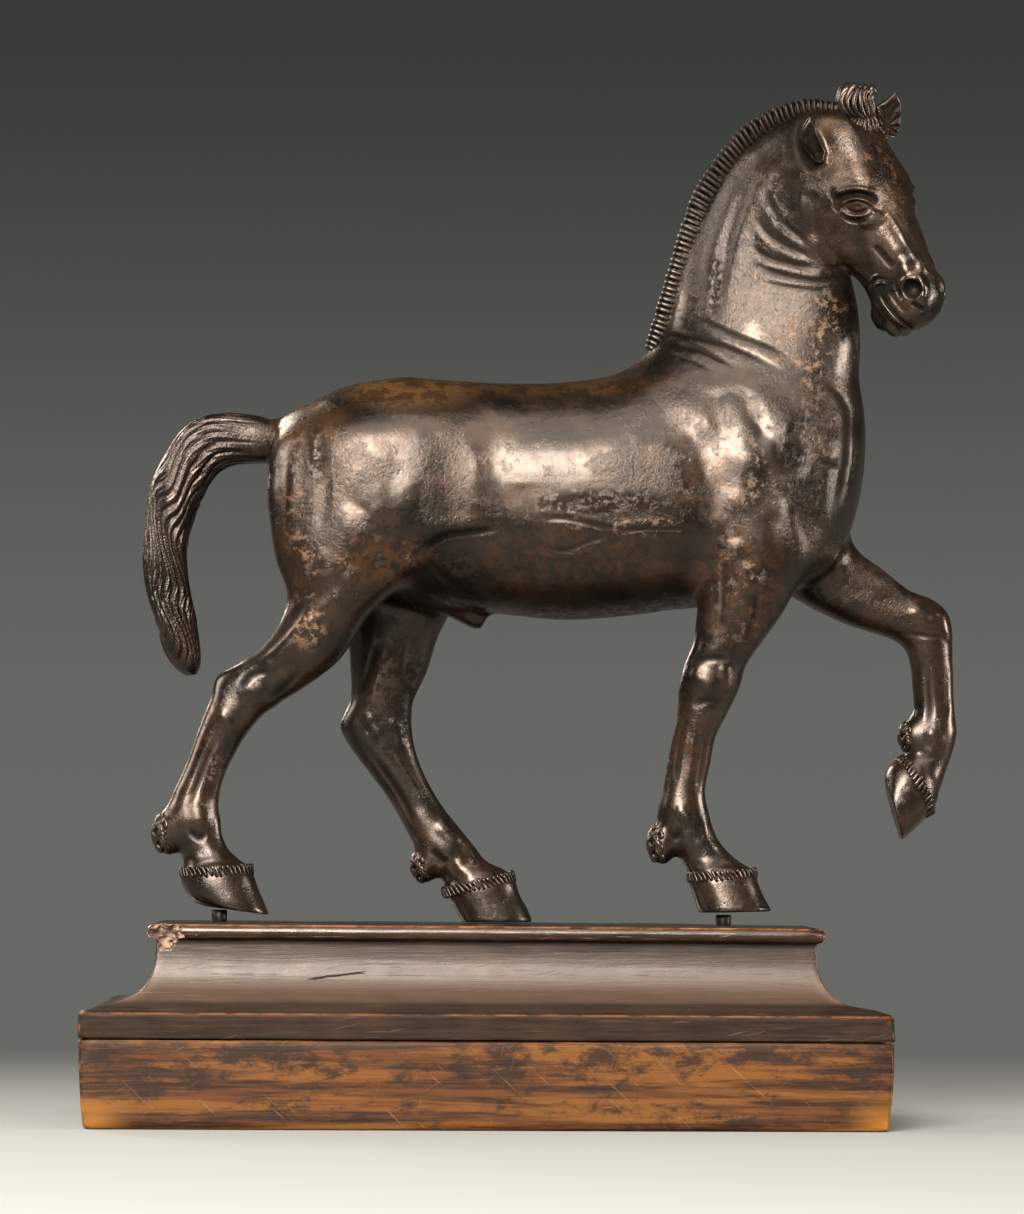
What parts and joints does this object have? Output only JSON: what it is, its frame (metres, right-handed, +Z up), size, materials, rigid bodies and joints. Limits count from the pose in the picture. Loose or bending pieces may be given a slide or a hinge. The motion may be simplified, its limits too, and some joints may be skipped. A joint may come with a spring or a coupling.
{
  "type": "bronze horse statuette on a wooden plinth",
  "caption": "Cast bronze statuette of a pacing horse with a raised foreleg, roached mane and hanging tail, on a moulded and ebonised wooden plinth over a plain brown block.",
  "frame": {"origin": "centre of the plinth's underside", "axes": "+X is the way the horse faces, +Y is towards the horse's left (far) side, +Z is up"},
  "size_m": [0.244, 0.108, 0.2912],
  "materials": {
    "bronze": "cast bronze with a glossy dark brown lacquered patina, worn tan and red-brown in places",
    "peg_metal": "dull blackened metal",
    "ebonised_wood": "polished black-brown stained wood, rubbed to copper brown on its edges",
    "brown_wood": "worn brown wood with dark stains, scratches and pale lower corners"
  },
  "bodies": {
    "root": {"bronze_horse": "bronze", "hind_peg": "peg_metal", "fore_peg": "peg_metal", "moulded_plinth": "ebonised_wood", "plinth_base": "brown_wood"}
  },
  "joints": []
}
